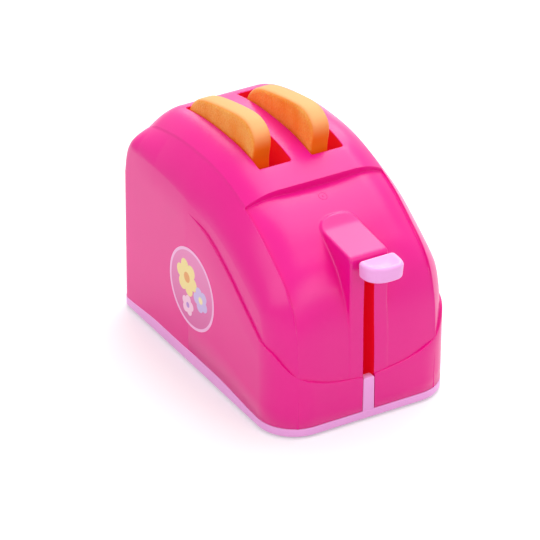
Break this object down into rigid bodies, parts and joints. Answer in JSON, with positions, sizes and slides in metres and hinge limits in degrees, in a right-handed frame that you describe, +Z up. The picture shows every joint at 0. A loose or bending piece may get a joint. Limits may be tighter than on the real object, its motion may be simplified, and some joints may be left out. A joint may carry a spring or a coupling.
{
  "type": "toy toaster",
  "caption": "Pretend-play toaster: glossy arched housing on a pale base, with slices in top slots that a sprung thumb lever at the narrow end lowers.",
  "frame": {"origin": "centre of the toy seen from above, thumb pad included, on the surface that its feet stand on", "axes": "+Z up; -Y towards the thumb lever at the narrow front end; +X to the right for someone who looks at that end from behind the toy"},
  "size_m": [0.115, 0.1959, 0.1531],
  "materials": {
    "glossy_pink_plastic": "polished injection moulding, strong pink",
    "pale_pink_plastic": "satin injection moulding, pale pink",
    "white_plastic": "natural moulding, unpainted",
    "orange_slice_vinyl": "soft moulding with a fine pebbled face",
    "sticker_film": "printed film with a clear coat",
    "plated_steel": "drawn and zinc plated",
    "spring_wire": "drawn spring wire",
    "spring_strip": "bent spring strip",
    "screw_steel": "zinc plated, cross recess"
  },
  "bodies": {
    "housing": {"body_shell": "glossy_pink_plastic", "base_tray": "pale_pink_plastic", "side_sticker": "sticker_film", "guide_rod_left": "plated_steel", "guide_rod_right": "plated_steel", "lift_spring_left": "spring_wire", "lift_spring_right": "spring_wire", "hold_down_clip": "spring_strip", "clip_screw": "screw_steel", "base_screw_front_left": "screw_steel", "base_screw_front_right": "screw_steel", "base_screw_back_left": "screw_steel", "base_screw_back_right": "screw_steel"},
    "carriage": {"lever_slider": "white_plastic", "toast_rack": "white_plastic", "lever_knob": "pale_pink_plastic", "rack_screw_left": "screw_steel", "rack_screw_right": "screw_steel"},
    "slice_left": {"toast_left": "orange_slice_vinyl"},
    "slice_right": {"toast_right": "orange_slice_vinyl"}
  },
  "joints": [
    {"name": "lever", "type": "slide", "parent": "housing", "child": "carriage", "axis": [0, 0, -1], "range_m": [0, 0.06], "stiffness_N_per_m": 30, "springref_m": -0.12, "deforming": ["lift_spring_left", "lift_spring_right"]},
    {"name": "toast_left_lift", "type": "slide", "parent": "carriage", "child": "slice_left", "axis": [0, 0, 1], "range_m": [0, 0.09]},
    {"name": "toast_right_lift", "type": "slide", "parent": "carriage", "child": "slice_right", "axis": [0, 0, 1], "range_m": [0, 0.09]}
  ]
}
